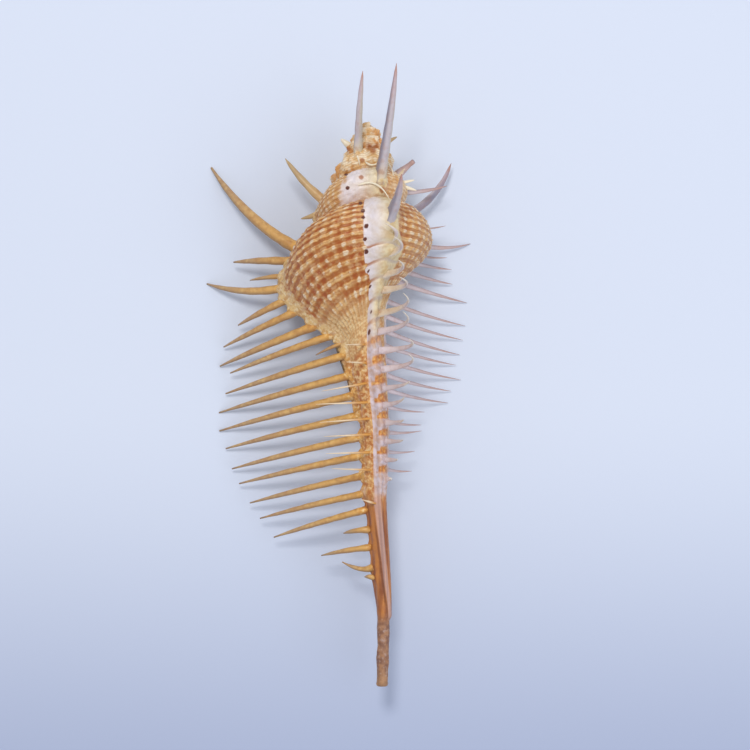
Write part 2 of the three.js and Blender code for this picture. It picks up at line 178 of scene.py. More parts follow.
SINGLE_SPINES = [
    spine_row(LIP_TURN, LIP, (-1.4, 4.2, 2.4), [(27.5, -31.9, 9.5, 0.0, 1.15)]),
    spine_row(LIP_TURN, LIP, (0.0, 2.8, 3.0), [(33.8, -32.8, 33.2, 0.0, 0.8)]),
    spine_row(UPPER_TURN, TALL, (1.0, 1.2, 0.0), [(21.8, 6.6, 13.1, 35.0, 0.85)], foot=(1.3, 4.5, 0.0, 0.5)),
    spine_row(BACK_TURN, TALL, (3.0, 2.4, -0.6), [(20.8, 17.0, 8.7, 2.4, 0.8)]),
    spine_row(BACK_TURN, BACK, (0.6, 2.0, 0.0), [(25.0, 21.0, 25.0, 0.2, 0.66)]),
    spine_row(-0.62, BACK, (0.6, 0.8, 0.0), [(15.4, 16.0, 13.7, 8.0, 0.4)], foot=(0.8, 3.0, 0.0, 0.5)),
    spine_row(-1.5, SHARD, STRAIGHT, [
        (13.4, 9.4, 12.9, 14.0, 0.3), (14.2, 9.8, 15.0, 14.0, 0.34), (12.4, 7.4, 10.8, 16.5, 0.3)]),
    spine_row(-1.0, OLIVE, (-0.6, 0.8, 1.0), [(17.6, -16.6, 8.2, 9.0, 0.8)]),
    spine_row(-1.0, OLIVE, (0.0, 0.2, 0.4), [(19.2, -13.4, 20.4, 9.5, 0.45)]),
    spine_row(-4 / 3, TALL, (0.5, 0.0, 1.5), [(13.8, 5.7, -9.1, 27.0, 1.0)], foot=(0.6, 5.0, 0.0, 0.5)),
    spine_row(-1.54, BACK, STRAIGHT, [(12.2, 9.2, 9.2, 14.5, 0.7)], foot=(0.3, 2.0, 0.0, 0.5), blunt=0.6),
    spine_row(-2.22, TALL, (-0.5, 0.0, 1.0), [(7.8, -0.9, -8.0, 23.0, 0.74)], foot=(0.5, 4.0, 0.0, 0.5)),
    spine_row(-2.0, SHARD, STRAIGHT, [(7.0, -5.3, 4.6, 12.5, 0.6)], foot=(0.8, 2.0, 0.0, 0.5)),
    spine_row(-2.5, OLIVE, STRAIGHT, [(6.3, 5.9, 4.2, 13.0, 0.45)]),
    spine_row(LIP_TURN, LIP, (0.9, 2.0, 0.0), [(90.1, -5.1, 89.4, 9.0, 0.55)], foot=(0.8, 1.6, 0.3, 0.7)),
]
COMBS = (
    LIP_COMB, LIP_CANAL_COMB, UPPER_BODY_COMB, UPPER_NECK_COMB, UPPER_CANAL_COMB, BACK_BODY_COMB,
    BACK_CANAL_COMB, FINE_COMB, *SINGLE_SPINES,
)


class Field:
    """A number that nodes work out for every point of a piece."""

    def __init__(self, tree, socket):
        self.tree = tree
        self.socket = socket

    def __add__(self, other):
        return calc("ADD", self, other)

    def __sub__(self, other):
        return calc("SUBTRACT", self, other)

    def __mul__(self, other):
        return calc("MULTIPLY", self, other)

    def __truediv__(self, other):
        return calc("DIVIDE", self, other)

    def __rsub__(self, other):
        return calc("SUBTRACT", other, self)

    def __rtruediv__(self, other):
        return calc("DIVIDE", other, self)

    __radd__ = __add__
    __rmul__ = __mul__


PLAIN = {
    "POWER": np.power, "MAXIMUM": np.maximum, "MINIMUM": np.minimum, "SINE": np.sin,
    "COSINE": np.cos, "EXPONENT": np.exp,
}


def feed(tree, value, place):
    """Link a field or a socket, or set a plain value, on a node's input."""
    if isinstance(value, Field):
        value = value.socket
    if isinstance(value, bpy.types.NodeSocket):
        tree.links.new(value, place)
    else:
        place.default_value = value


def add_node(tree, kind, inputs, **settings):
    """A node with its settings made and its inputs fed."""
    node = tree.nodes.new(kind)
    for name, value in settings.items():
        setattr(node, name, value)
    for name, value in inputs.items():
        feed(tree, value, node.inputs[name])
    return node


def calc(operation, *values):
    """One step of arithmetic, by a node if any value is a field."""
    trees = [value.tree for value in values if isinstance(value, Field)]
    if not trees:
        return PLAIN[operation](*values)
    node = add_node(trees[0], "ShaderNodeMath", dict(enumerate(values)), operation=operation)
    return Field(trees[0], node.outputs[0])


def smooth(value, low, high):
    """A soft step from 0 at low to 1 at high."""
    part = calc("MINIMUM", calc("MAXIMUM", (value - low) / (high - low), 0.0), 1.0)
    return part * part * (3.0 - 2.0 * part)


def fade(value, low, high):
    """A soft step from 1 at low to 0 at high."""
    return 1.0 - smooth(value, low, high)


def blend(first, second, part):
    return first + (second - first) * part


def scale_at(size, turn, station):
    growth_here = calc("POWER", size["growth per turn"], turn)
    return blend(growth_here, 1.0, smooth(station, GROWTH_FADE_START, CANAL_START))


def whorl_radius(size, station):
    off = calc("MAXIMUM", size["whorl station"] - station, 0.0) / size["whorl shoulder length"]
    reach = calc("POWER", calc("MINIMUM", off, 1.0), size["whorl roundness"])
    bulge = calc("POWER", 1.0 - reach, 1.0 / size["whorl roundness"])
    upper = size["whorl core radius"] + size["whorl bulge"] * bulge
    below = smooth(station, size["whorl station"], size["neck end"])
    return blend(upper, size["canal radius"] + size["canal swell"], below)


def canal_radius(size, distance):
    fall = (CANAL_TAPER_START - calc("MAXIMUM", distance, CANAL_TAPER_START)) / size["canal taper"]
    tube = size["canal radius"] + size["canal swell"] * calc("EXPONENT", fall)
    return tube - CANAL_STEP * smooth(distance, *STEP_RUN)


def shell_radius(size, turn, station):
    scale = scale_at(size, turn, station)
    early = scale * station / size["spire swell length"]
    fullness = size["spire swell"] * calc("EXPONENT", 0.0 - early * early)
    whorl = scale * whorl_radius(size, station) + fullness
    neck = smooth(station, size["neck station"], size["neck end"])
    return blend(whorl, canal_radius(size, scale * station), neck)


def shell_place(size, turn, distance, radius):
    """Side, distance and height, in mm, of a point off the coil's axis."""
    angle = (size["lip angle"] + 360.0 * turn) * (math.pi / 180.0)
    bend = size["neck bend"] * smooth(distance, *NECK_BEND_RUN)
    bend += size["canal bend"] * smooth(distance, *CANAL_BEND_RUN)
    bend -= size["tip bend"] * smooth(distance, CANAL_BEND_RUN[1], CANAL_END)
    bend -= CANAL_STEP * smooth(distance, *STEP_RUN)
    droop = size["canal droop"] * smooth(distance, DROOP_START, CANAL_END)
    rise = radius * calc("SINE", angle)
    lean = size["whorl lean"] * fade(distance, *LEAN_FADE)
    side = bend + radius * calc("COSINE", angle)
    return side, distance - lean * rise, size["axis height"] - droop + rise


def station_at(turn, distance):
    """The station of a whorl's outline that lies at a distance from the point."""
    low, high = 5.0, 130.0
    for _ in range(50):
        middle = (low + high) / 2
        radius = shell_radius(COIL, turn, middle)
        if shell_place(COIL, turn, scale_at(COIL, turn, middle) * middle, radius)[1] < distance:
            low = middle
        else:
            high = middle
    return low


# The flat chart of the sheet: a strip of columns (turns) and rows (stations) that
# shares its sutures, closed at the point, the canal's end and inside the mouth.
VARICES_PER_TURN = 3
VARIX_COUNT = 16
THIRD_COLUMNS = 80
TURN_COLUMNS = VARICES_PER_TURN * THIRD_COLUMNS
LAST_COLUMN = VARIX_COUNT * THIRD_COLUMNS
FIRST_FULL = LAST_COLUMN - TURN_COLUMNS
CORD_ROWS = 4
SPIRE_ROWS = CORD_ROWS * CORDS_PER_WHORL
BASE_ROWS = 20
HOLLOW_RINGS = 14
LIP_ROLL = 0.01

row_stations = np.concatenate([
    SUTURE + CORD_PITCH / CORD_ROWS * np.arange(SPIRE_ROWS + BASE_ROWS),
    np.arange(45.2, CANAL_START, 0.6),
    np.arange(CANAL_START, 99.9, 0.8),
    np.arange(STEP_STATION - 0.5, STEP_STATION + 0.8, 0.3),
    np.arange(102.4, 113.4, 1.2),
    [CANAL_END - 0.5, CANAL_END - 0.15, CANAL_END, CANAL_END],
])
row_closings = np.ones(len(row_stations))
row_closings[-3:] = (0.93, 0.75, 0.4)
MOUTH_ROW = int(np.searchsorted(row_stations, CANAL_START))

points = []
faces = []


def chart_point(turn, station, closing=1.0, swing=0.0, inside=0.0):
    points.append((turn, station, closing, swing, inside))
    return len(points) - 1


columns = []
for column in range(LAST_COLUMN + 1):
    turn = (column / THIRD_COLUMNS - VARIX_COUNT) / VARICES_PER_TURN
    rows = SPIRE_ROWS if column < FIRST_FULL else len(row_stations)
    if column == LAST_COLUMN:
        rows = MOUTH_ROW
    shared = SPIRE_ROWS if column == FIRST_FULL else -1
    columns.append([
        None if row == shared else chart_point(turn, row_stations[row], row_closings[row])
        for row in range(rows)
    ])
for column in range(FIRST_FULL):
    columns[column].append(columns[column + TURN_COLUMNS][0])
columns[FIRST_FULL][SPIRE_ROWS] = columns[LAST_COLUMN][0]
columns[LAST_COLUMN] += columns[FIRST_FULL][MOUTH_ROW:]
for column in range(LAST_COLUMN):
    this, following = columns[column], columns[column + 1]
    for row in range(min(len(this), len(following)) - 1):
        faces.append((this[row], following[row], following[row + 1], this[row + 1]))

first_turn = -VARIX_COUNT / VARICES_PER_TURN
growth = COIL["growth per turn"]
apex = chart_point(first_turn, APEX / growth ** first_turn, 0.0)
for column in range(TURN_COLUMNS):
    faces.append((apex, columns[column + 1][0], columns[column][0]))
for row in range(SPIRE_ROWS):
    faces.append((apex, columns[0][row], columns[0][row + 1]))
canal_pole = chart_point(0.0, CANAL_END, 0.0)
for column in range(FIRST_FULL, LAST_COLUMN):
    faces.append((canal_pole, columns[column][-1], columns[column + 1][-1]))

outer_lip = columns[LAST_COLUMN][:MOUTH_ROW + 1]
inner_lip = columns[FIRST_FULL][SPIRE_ROWS + 1:MOUTH_ROW][::-1]
mouth = outer_lip + inner_lip
swings = np.concatenate([
    np.linspace(math.pi, 0.0, len(outer_lip)),
    np.linspace(0.0, -math.pi, len(inner_lip) + 2)[1:-1],
])
hollow_depth = COIL["hollow turns"] + LIP_ROLL
previous = mouth
for ring in range(HOLLOW_RINGS + 1):
    turn = LIP_ROLL - hollow_depth * ring / HOLLOW_RINGS
    current = [chart_point(turn, COIL["hollow station"], 1.0, swing, 1.0) for swing in swings]
    for place in range(len(mouth)):
        following = (place + 1) % len(mouth)
        faces.append((previous[following], previous[place], current[place], current[following]))
    previous = current
hollow_end = chart_point(-hollow_depth, COIL["hollow station"], 0.0, 0.0, 1.0)
for place in range(len(mouth)):
    faces.append((previous[(place + 1) % len(mouth)], previous[place], hollow_end))

chart = np.array(points)
turns, stations, closings, chart_swings, chart_inside = chart.T
since = (turns * VARICES_PER_TURN + 1e-6) % 1.0
beside = np.where(since < 0.5, since, since - 1.0)
on_canal = smooth(stations, 42.0, CANAL_START)
outside = 1.0 - chart_inside
OLDER_TURN = -0.98
older = turns < OLDER_TURN


def near_line(turn):
    """True on the points nearest to the line of varices at a turn."""
    return np.abs((turns - turn + 0.5) % 1.0 - 0.5) < 0.5 / VARICES_PER_TURN


# How strongly each point is raised by a varix, and by the tongue under each spine,
# with gaps between the tongues that slant on the canal.
ridge = np.maximum(smooth(since, 0.84, 1.0), fade(since, 0.0, 0.14))
ridge *= blend(1.0, 0.4, smooth(stations, COIL["neck station"], CANAL_START))
ridge *= smooth(stations, 24.0, 29.0) * fade(stations, 92.0, 101.0)
ridge *= blend(1.9, 1.0, growth ** turns) * outside
hidden = (turns < -0.9) & (stations > SUTURE * growth - 0.01) & (stations < CANAL_START)
ridge[hidden] = 0.0

on_lip_line = near_line(LIP_TURN)
tongue = np.ones(len(chart))
slant = np.zeros(len(chart))
gap_width = blend(0.34, 0.85, on_canal)
UPPER_ROWS = UPPER_BODY_COMB["rows"] + UPPER_NECK_COMB["rows"] + UPPER_CANAL_COMB["rows"]
LIP_ROWS = LIP_COMB["rows"] + LIP_CANAL_COMB["rows"]
for turn, rows in ((UPPER_TURN, UPPER_ROWS), (LIP_TURN, LIP_ROWS)):
    near = near_line(turn)
    roots = [station_at(turn, row[0]) for row in rows]
    for upper, lower in zip(roots, roots[1:]):
        half_gap = (lower - upper) / 2
        below = (stations - (upper + lower) / 2) / half_gap
        gap = np.exp(-(below * half_gap / gap_width) ** 2)
        tongue = np.minimum(tongue, 1.0 - gap * near)
        slant = np.where(np.abs(below) <= 1.0, np.where(near, below, slant), slant)
tongue = np.where(older, 1.0, tongue)
web = on_canal * smooth(beside, 0.04 + 0.24 * slant, 0.08 + 0.24 * slant) * ~on_lip_line
tongue = np.maximum(tongue, web)
tongue_rise = tongue * fade(beside, 0.04, 0.16) * smooth(beside, -0.17, -0.03) * outside
tongue_rise *= ~older * fade(stations, 73.0, 78.0) * blend(1.0, 0.35, on_canal)
tongue_rise *= np.where(on_lip_line, 0.45, 1.0)
tongue_rise[hidden] = 0.0

# Where the varix's white apron lies, which runs down the canal as a strip and ends
# in a pale band with a dark seam beside it.
body_front = 0.12 + 0.03 * tongue - 0.045 * smooth(stations, 40.0, 41.2)
apron_front = np.where(older, 0.4, body_front)
apron_front = blend(apron_front, np.where(on_lip_line, 0.3, 0.255), on_canal)
apron_rear = -0.115 - 0.11 * smooth(stations, 34.0, 37.5) * ~older * ~on_lip_line
apron_rear = blend(apron_rear, np.where(on_lip_line, -0.3, -0.46), on_canal)
edge = np.where(older, 0.12, 0.015)
rear_edge = blend(np.where(on_lip_line, 0.11, 0.09), 0.02, on_canal)
apron = fade(beside, apron_front - edge, apron_front + edge)
apron *= smooth(beside, apron_rear - np.where(on_lip_line, 0.08, 0.02), apron_rear + rear_edge)
apron *= smooth(turns, -1.9, -1.5) * smooth(stations, 23.7, 24.6) * outside
apron *= fade(stations, 72.5, 79.0)
lip = apron * on_lip_line * (turns > -1.2)
rear = smooth(0.0 - beside, np.where(older, -0.3, -0.1), 0.03)

band_middle = 0.15 - 0.2 * smooth(stations, 76.0, 94.0) - 0.25 * smooth(stations, 92.0, 100.5)
band = fade(np.abs(beside - band_middle), 0.11, 0.2) * near_line(UPPER_TURN) * outside
band *= smooth(stations, 73.0, 77.0) * fade(stations, 100.0, 101.0)
SEAM_OFF, SEAM_WIDTH = 0.24, 0.022
seam_turn = UPPER_TURN + (band_middle + SEAM_OFF) / VARICES_PER_TURN
seam = np.exp(-((turns - seam_turn) / SEAM_WIDTH) ** 2) * outside
seam *= smooth(stations, 78.0, 84.0) * fade(stations, *TAIL_RUN)

# Knobs on the oldest turns, the slit along the canal, and where cords, ribs and
# lumps are strong.
KNOBS_PER_TURN, KNOB_STATION, KNOB_LENGTH = 13, 28.5, 2.6
knob = np.maximum(np.cos(2.0 * math.pi * KNOBS_PER_TURN * turns), 0.0) * outside
knob *= np.exp(-((stations - KNOB_STATION) / KNOB_LENGTH) ** 2)
knob *= fade(turns, -1.75, -1.35)
old = smooth(0.0 - turns, 1.25, 1.6) * outside
ornament = fade(stations, 43.0, 51.0) * (1.0 - 0.85 * apron) * (1.0 - 0.6 * old) * outside
SLIT_ANGLE, SLIT_WIDTH = 24.0, 7.0
slit = np.exp(-(((turns + 1.0) * 360.0 - SLIT_ANGLE) / SLIT_WIDTH) ** 2) * outside
slit *= smooth(stations, 52.0, 56.0)
# Painted shade: the bare orange on the canal darkens towards its rear flank.
painted_flank_shade = on_canal * smooth(0.0 - beside, 0.2, 0.46)
uneven = blend(0.14, 1.0, smooth(0.0 - turns, 0.95, 2.2))
uneven += (np.where(older, 0.7, 0.35) * apron + 0.4 * lip) * (1.0 - on_canal)
uneven = np.maximum(uneven, 0.55 * smooth(stations, 99.0, 104.0)) * outside
rib_marks = np.random.default_rng(11).random(RIBS_PER_TURN * 6)
streak = np.interp((turns + 5.5) * RIBS_PER_TURN, np.arange(len(rib_marks)), rib_marks)

# Marks on the upper side: (side, distance, radius). Dark spots stand along the front
# of a varix, and worn pits and old spine feet show orange on the spire.
SPOTS = [
    (-1.33, 18.2, 0.4), (-0.84, 19.8, 0.42), (-0.8, 21.1, 0.4), (-0.18, 22.8, 0.45), (-0.45, 25.3, 0.42),
    (-0.18, 27.7, 0.45), (0.2, 31.5, 0.3), (0.45, 34.4, 0.34), (0.5, 39.3, 0.34), (0.3, 43.4, 0.34),
    (-4.14, 12.1, 0.35), (-3.88, 14.9, 0.42), (-4.81, 8.8, 0.3),
]
PITS = [(-1.19, 12.8, 0.5), (-1.0, 9.2, 0.5), (-4.0, 6.8, 0.6), (3.2, 15.0, 0.7), (0.9, 6.4, 1.3)]
plain_radius = (shell_radius(COIL, turns, stations) + COIL["varix height"] * ridge) * closings
plain_distance = scale_at(COIL, turns, stations) * stations
plain_skin = shell_place(COIL, turns, plain_distance, plain_radius)


def marks(places):
    found = np.zeros(len(chart))
    for side, distance, radius in places:
        off = ((plain_skin[0] - side) ** 2 + (plain_skin[1] - distance) ** 2) / radius ** 2
        found = np.maximum(found, np.exp(-off))
    return found * outside * (plain_skin[2] > COIL["axis height"])


# The skin swells into a smooth foot along the first millimetres of each spine:
# (height, half width, depth of the spine's root) by kind.
SWELLS = {
    LIP: (1.3, 1.4, 1.7), UPPER: (0.9, 1.1, 1.6), BACK: (0.5, 0.8, 1.1), TALL: (0.5, 1.4, 1.4),
    FINE: (0.6, 0.55, 1.4), OLIVE: (0.6, 1.0, 1.1), SHARD: (0.0, 1.0, 1.1),
}
SHALLOW_START = 76.0
SHALLOW_SWELL = (0.5, 0.8, 0.8)
SWELL_REACH = 1.2
STAIN_WIDTH = 2.0


def spine_swell(comb, row):
    return SHALLOW_SWELL if row[0] > SHALLOW_START else SWELLS[comb["comb"]]


def spine_path(comb, row):
    """The root, the middle's pull and the tip of one spine."""
    distance, side, tip_distance, height, _ = row
    depth = spine_swell(comb, row)[2]
    turn = comb["turn"]
    station = station_at(turn, distance)
    radius = shell_radius(COIL, turn, station) + 0.5 * COIL["varix height"] - depth
    root = np.array(shell_place(COIL, turn, scale_at(COIL, turn, station) * station, radius))
    tip = np.array((side, tip_distance, height))
    return root, (root + tip) / 2 + np.array(comb["bow"]), tip


swell = np.zeros(len(chart))
stain = np.zeros(len(chart))
for comb in COMBS:
    for row in comb["rows"]:
        high, wide, _ = spine_swell(comb, row)
        root, pull, _ = spine_path(comb, row)
        heading = (pull - root) / np.linalg.norm(pull - root)
        reach = [skin - start for skin, start in zip(plain_skin, root)]
        ahead = sum(part * way for part, way in zip(reach, heading))
        off = sum((part - ahead * way) ** 2 for part, way in zip(reach, heading))
        beyond = np.maximum(np.abs(ahead - SWELL_REACH) - SWELL_REACH, 0.0) ** 2
        swell = np.maximum(swell, high * np.exp(-off / wide ** 2 - beyond))
        if comb["comb"] == LIP:
            stain = np.maximum(stain, np.exp(-(off + beyond) / STAIN_WIDTH ** 2))
swell *= outside


def add_numbers(mesh, name, values):
    mesh.attributes.new(name, "FLOAT", "POINT").data.foreach_set("value", values.astype(np.float32))


whorl_mesh = bpy.data.meshes.new("shell_whorls")
whorl_mesh.from_pydata([(turn, station, 0.0) for turn, station in chart[:, :2]], [], faces)
whorl_numbers = {
    "turn": turns, "station": stations, "closing": closings, "swing": chart_swings,
    "inside": chart_inside, "ridge": ridge, "apron": apron, "tongue": tongue, "spot": marks(SPOTS),
    "ornament": ornament, "slit": slit, "lip": lip, "streak": streak, "tongue rise": tongue_rise,
    "band": band, "seam": seam, "knob": knob, "painted_flank_shade": painted_flank_shade, "uneven": uneven,
    "pit": marks(PITS), "rear": rear, "old": old, "swell": swell, "stain": stain,
}
for name, values in whorl_numbers.items():
    add_numbers(whorl_mesh, name, values)


def add_object(name, data):
    added = bpy.data.objects.new(name, data)
    bpy.context.scene.collection.objects.link(added)
    return added


whorls = add_object("shell_whorls", whorl_mesh)


def new_tree(name, sizes):
    """An empty geometry tree with one named number for each size."""
    tree = bpy.data.node_groups.new(name, "GeometryNodeTree")
    tree.interface.new_socket("Geometry", in_out="INPUT", socket_type="NodeSocketGeometry")
    tree.interface.new_socket("Geometry", in_out="OUTPUT", socket_type="NodeSocketGeometry")
    for size, value in sizes.items():
        socket = tree.interface.new_socket(size, in_out="INPUT", socket_type="NodeSocketFloat")
        socket.default_value = value
    entry = tree.nodes.new("NodeGroupInput")
    return tree, entry, {size: Field(tree, entry.outputs[size]) for size in sizes}


def number(tree, name):
    node = add_node(tree, "GeometryNodeInputNamedAttribute", {"Name": name}, data_type="FLOAT")
    return Field(tree, node.outputs["Attribute"])


def move(tree, geometry, side, distance, height):
    """Put each point at its place in the shared frame."""
    place = add_node(tree, "ShaderNodeCombineXYZ", {
        "X": side * MILLIMETRE + AXIS_PLACE,
        "Y": SPIRE_PLACE - distance * MILLIMETRE,
        "Z": height * MILLIMETRE,
    })
    moves = {"Geometry": geometry, "Position": place.outputs["Vector"]}
    return add_node(tree, "GeometryNodeSetPosition", moves).outputs["Geometry"]


def finish_tree(tree, geometry, material):
    realize = add_node(tree, "GeometryNodeRealizeInstances", {"Geometry": geometry})
    dress = {"Geometry": realize.outputs["Geometry"], "Material": material}
    dressed = add_node(tree, "GeometryNodeSetMaterial", dress)
    add_node(tree, "NodeGroupOutput", {"Geometry": dressed.outputs["Geometry"]})


def grow(piece, tree, sizes):
    """Run a tree on a piece and keep the result as a plain mesh."""
    modifier = piece.modifiers.new(tree.name, "NODES")
    modifier.node_group = tree
    for socket in tree.interface.items_tree:
        if socket.name in sizes:
            modifier[socket.identifier] = sizes[socket.name]
    graph = bpy.context.evaluated_depsgraph_get()
    grown = bpy.data.meshes.new_from_object(piece.evaluated_get(graph), depsgraph=graph)
    piece.modifiers.remove(modifier)
    grown.name = piece.name
    piece.data = grown


def tint(red, green, blue):
    """A colour from its screen values."""
    parts = [value / 255 for value in (red, green, blue)]
    return (*(((part + 0.055) / 1.055) ** 2.4 if part > 0.04 else part / 12.92 for part in parts), 1.0)


def shader(name, roughness):
    material = bpy.data.materials.new(name)
    material.use_nodes = True
    surface = material.node_tree.nodes["Principled BSDF"]
    surface.inputs["Roughness"].default_value = roughness
    return material, material.node_tree, surface


def measure(tree, name):
    return Field(tree, add_node(tree, "ShaderNodeAttribute", {}, attribute_name=name).outputs["Fac"])


def mix(part, first, second):
    """A colour between two others, each a field or plain screen values."""
    ends = [colour if isinstance(colour, Field) else tint(*colour) for colour in (first, second)]
    inputs = {0: part, 6: ends[0], 7: ends[1]}
    node = add_node(part.tree, "ShaderNodeMix", inputs, data_type="RGBA", clamp_factor=True)
    return Field(part.tree, node.outputs[2])


def cloud(tree, scale, detail=3.0, stretch=(1.0, 1.0, 1.0)):
    """Uneven growth: noise over the piece's own coordinates."""
    place = add_node(tree, "ShaderNodeTexCoord", {}).outputs["Object"]
    pull = add_node(tree, "ShaderNodeMapping", {"Vector": place, "Scale": stretch}).outputs["Vector"]
    node = add_node(tree, "ShaderNodeTexNoise", {"Vector": pull, "Scale": scale, "Detail": detail})
    return Field(tree, node.outputs["Fac"])


def chance(first, second, salt):
    """A random number for each whole step of two fields."""
    steps = {"X": calc("FLOOR", first), "Y": calc("FLOOR", second), "Z": salt}
    cell = add_node(first.tree, "ShaderNodeCombineXYZ", steps).outputs["Vector"]
    node = add_node(first.tree, "ShaderNodeTexWhiteNoise", {"Vector": cell})
    return Field(first.tree, node.outputs["Value"])


def roughen(tree, surface, height, strength, depth):
    relief = {"Strength": strength, "Distance": depth * MILLIMETRE, "Height": height}
    feed(tree, add_node(tree, "ShaderNodeBump", relief).outputs["Normal"], surface.inputs["Normal"])


def coats(colour, *layers):
    """A colour under layers of others, each with the part that it covers."""
    for part, layer in layers:
        colour = mix(part, colour, layer)
    return colour


def speckle(specks, colour, dark, pale, pale_start=0.36, pale_part=0.6):
    """A colour with dark and pale specks."""
    pale_specks = fade(specks, pale_start, 0.48) * pale_part
    return coats(colour, (smooth(specks, 0.5, 0.62) * 0.6, dark), (pale_specks, pale))


def whorl_skin(paint, patches, grit, specks):
    """Brown furrows between pale beaded cords, worn cream when old, grained at the neck."""
    station = measure(paint, "station")
    turn = measure(paint, "turn")
    streak = measure(paint, "streak")
    blotch = cloud(paint, 650.0, 5.0)
    cord_place = (station - SUTURE) / CORD_PITCH
    rib_place = turn * RIBS_PER_TURN
    warp = (grit - 0.5) * 0.5 + (specks - 0.5) * 0.3
    cord = (0.5 - 0.5 * calc("COSINE", (cord_place + warp) * (2.0 * math.pi))) * measure(paint, "ornament")
    rib = 0.5 + 0.5 * calc("COSINE", (rib_place + warp) * (2.0 * math.pi))
    thread = 0.5 + 0.5 * calc("COSINE", cord_place * (6.0 * math.pi))
    bead_luck = chance(cord_place, rib_place + 0.5, 0.5)
    patch_luck = chance(cord_place, rib_place, 1.5)
    burnt = fade(rib, 0.1, 0.9) * smooth(patch_luck + (streak - 0.5) * 0.6, 0.4, 0.8)
    paler = smooth(0.0 - turn, 0.36, 0.46) * 0.3 + smooth(0.0 - turn, 0.95, 1.2) * 0.15
    bead = cord * rib + (bead_luck - 0.5) * 0.6 + (grit - 0.5) * 1.1 - (blotch - 0.5) * 0.6 + paler * 0.5
    fresh = coats(
        mix(patches * 0.5 + streak * 0.5, (212, 158, 88), (190, 120, 46)),
        (smooth(thread, 0.4, 1.0) * 0.4, (224, 180, 116)),
        (smooth(cord, 0.55, 0.95) * 0.65, (228, 190, 132)),
        (smooth(grit, 0.5, 0.66) * 0.5, (180, 108, 42)),
        (fade(cord, 0.1, 0.6) * 0.75, (162, 88, 28)),
        (burnt * (1.0 - 0.6 * cord) * 0.9, (164, 76, 16)),
        (paler, (226, 190, 130)),
        (smooth(rib, 0.62, 0.95) * smooth(specks, 0.3, 0.6) * 0.12, (230, 200, 158)),
        (smooth(blotch, 0.5, 0.62) * (0.4 - paler * 0.4), (160, 80, 20)),
        (fade(blotch, 0.36, 0.48) * 0.35, (228, 192, 142)),
        (smooth(bead, 0.52, 0.98) * 0.8, (234, 216, 186)),
        (fade(thread, 0.05, 0.45) * 0.3, (158, 82, 26)),
    )
    worn = coats(
        mix(smooth(grit, 0.4, 0.6), (248, 236, 206), (228, 190, 132)),
        (smooth(patches, 0.52, 0.62) * smooth(grit, 0.35, 0.55), (212, 150, 80)),
        (fade(cord, 0.05, 0.4) * 0.35, (190, 130, 76)),
    )
    grain = coats(
        mix(smooth(specks, 0.38, 0.66), (226, 196, 144), (200, 154, 96)),
        (smooth(patches, 0.5, 0.66) * 0.5, (184, 126, 68)),
        (smooth(thread, 0.5, 1.0) * 0.35, (186, 128, 70)),
        (smooth(rib, 0.75, 0.98) * 0.16, (238, 218, 182)),
    )
    grain_place = station - 2.2 * smooth(0.0 - turn, 0.05, 0.3) + (patches - 0.5) * 5.0
    return coats(fresh, (measure(paint, "old") * 0.85, worn), (smooth(grain_place, 40.0, 44.0), grain))


def canal_skin(paint, canal, grit, specks, whorl):
    """Speckled orange, then fibrous brown, then dull where the outer layer is gone."""
    station = measure(paint, "station")
    orange = mix(smooth(grit, 0.34, 0.66), (224, 176, 110), (190, 118, 54))
    orange = speckle(specks, orange, (170, 92, 42), (242, 216, 166))
    fibre = cloud(paint, 700.0, 3.0, (1.0, 0.12, 1.0))
    brown = mix(smooth(fibre, 0.38, 0.6), (192, 122, 58), (142, 80, 42))
    brown = mix(smooth(grit, 0.5, 0.7) * 0.5, brown, (172, 106, 60))
    dull = coats(
        mix(smooth(grit, 0.36, 0.64), (164, 118, 84), (128, 88, 66)),
        (smooth(specks, 0.52, 0.68) * 0.5, (186, 160, 150)),
        (smooth(station, 109.0, 114.0) * 0.4, (188, 144, 96)),
    )
    worn_away = smooth(station, *TAIL_RUN)
    return coats(whorl, (canal, orange), (smooth(station, 73.0, 79.0), brown), (worn_away, dull))


def apron_skin(paint, canal, grit, specks):
    """White on the whorl, lilac on the canal with orange gaps, golden along the lip."""
    tongue = measure(paint, "tongue")
    rear = measure(paint, "rear")
    white = mix(smooth(grit, 0.35, 0.7), (230, 220, 222), (222, 208, 200))
    aged = mix(smooth(grit, 0.4, 0.65), (226, 208, 166), (212, 184, 136))
    white = mix(calc("MAXIMUM", rear, measure(paint, "old") * 0.5), white, aged)
    # The gaps between the tongues: partly their reddish seam colour, partly painted shade in the gaps.
    gap_seam_and_shade = mix(rear, (184, 128, 98), (206, 188, 166))
    white = mix(smooth(tongue, 0.1, 0.6), gap_seam_and_shade, white)
    lilac = mix(smooth(grit, 0.35, 0.65), (210, 194, 198), (194, 162, 146))
    # painted shade on the canal's rear flank
    bare = mix(measure(paint, "painted_flank_shade"), (206, 134, 56), (158, 96, 54))
    bare = speckle(specks, bare, (166, 92, 44), (236, 190, 118), 0.38, 0.5)
    strip = coats(white, (canal, lilac), (canal * fade(tongue, 0.3, 0.75), bare))
    fringe = coats(
        mix(smooth(tongue, 0.2, 0.7), (206, 150, 74), (230, 190, 122)),
        (smooth(grit, 0.44, 0.6) * 0.6, (190, 132, 66)),
        (fade(specks, 0.34, 0.5) * 0.6, (244, 228, 192)),
    )
    roots = mix(smooth(measure(paint, "stain"), 0.2, 0.8), (188, 112, 56), (226, 170, 90))
    roots = speckle(specks, roots, (168, 92, 40), (244, 220, 172))
    return mix(measure(paint, "lip"), strip, mix(canal, fringe, roots))


